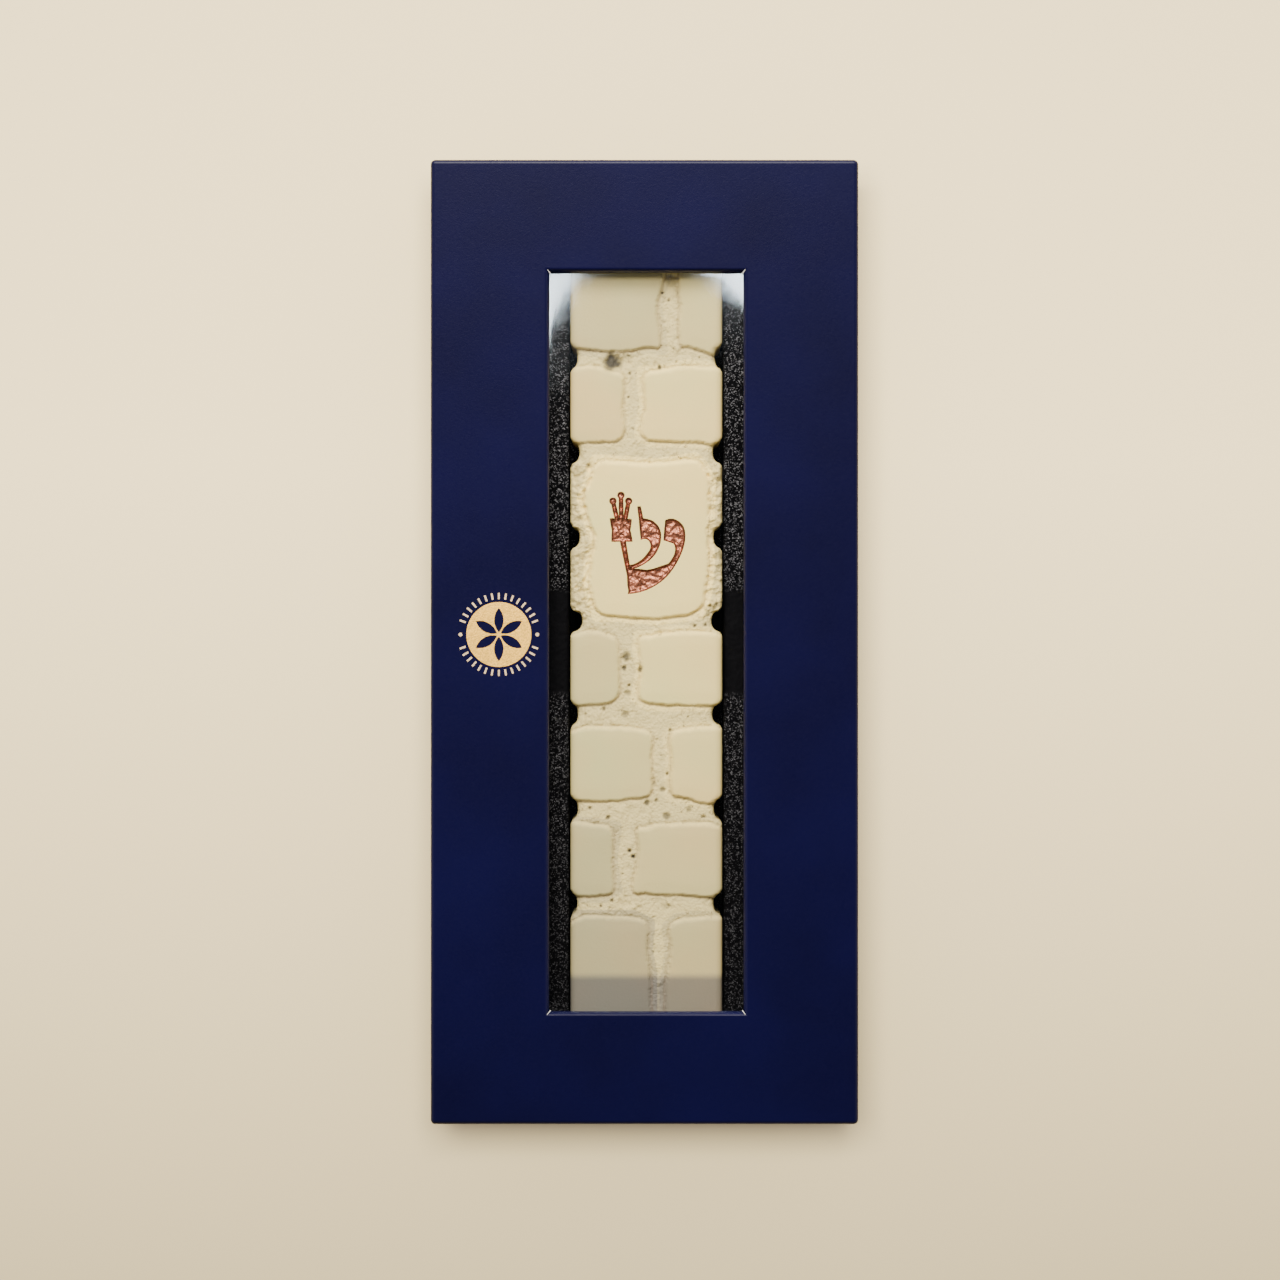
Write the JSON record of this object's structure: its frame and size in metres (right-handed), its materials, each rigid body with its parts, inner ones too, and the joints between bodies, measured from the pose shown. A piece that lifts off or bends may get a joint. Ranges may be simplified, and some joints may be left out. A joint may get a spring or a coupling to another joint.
{
  "type": "boxed mezuzah case",
  "caption": "Cast-stone mezuzah case shaped like a stone wall with a copper letter, in a navy windowed presentation box with foam; scroll and snap-in cover behind.",
  "frame": {"origin": "centre of the box's underside", "axes": "+Z out of the window, +Y towards the head of the case, +X to the right as the letter is read"},
  "size_m": [0.0684, 0.1544, 0.026],
  "materials": {
    "greyboard": "matte",
    "kraft_tape": "matte",
    "navy_paper": "satin",
    "navy_lining": "matte",
    "black_foam": "matte",
    "clear_film": "gloss",
    "clear_film_sleeve": "gloss",
    "gold_foil": "satin",
    "cast_stone": "matte",
    "copper_enamel": "satin",
    "foam_tape": "matte",
    "liner_paper": "satin",
    "parchment": "matte",
    "cover_plastic": "matte"
  },
  "bodies": {
    "box_base": {"base_board": "greyboard", "base_corner_stays": "kraft_tape", "base_wrap": "navy_paper", "base_bottom_sheet": "navy_lining", "foam_bed": "black_foam", "foam_frame": "black_foam"},
    "lid": {"lid_board": "greyboard", "lid_corner_stays": "kraft_tape", "lid_wrap": "navy_paper", "lid_lining": "navy_lining", "window_film": "clear_film", "seal_disc": "gold_foil", "seal_ring": "gold_foil"},
    "mezuzah_case": {"case_body": "cast_stone", "shin_letter": "copper_enamel", "adhesive_strips": "foam_tape", "release_liners": "liner_paper"},
    "scroll": {"parchment_scroll": "parchment", "scroll_sleeve": "clear_film_sleeve"},
    "back_cover": {"back_cover": "cover_plastic"}
  },
  "joints": [
    {"name": "lid_lift", "type": "slide", "parent": "box_base", "child": "lid", "axis": [0, 0, 1], "range_m": [0, 0.12]},
    {"name": "case_lift", "type": "slide", "parent": "box_base", "child": "mezuzah_case", "axis": [0, 0, 1], "range_m": [0, 0.084]},
    {"name": "scroll_drop", "type": "slide", "parent": "mezuzah_case", "child": "scroll", "axis": [0, 0, -1], "range_m": [0, 0.018]},
    {"name": "cover_drop", "type": "slide", "parent": "mezuzah_case", "child": "back_cover", "axis": [0, 0, -1], "range_m": [0, 0.036]}
  ],
  "couplings": [
    {"joint": "case_lift", "follows": "lid_lift", "ratio": 0.7},
    {"joint": "scroll_drop", "follows": "lid_lift", "ratio": 0.15},
    {"joint": "cover_drop", "follows": "lid_lift", "ratio": 0.3}
  ]
}
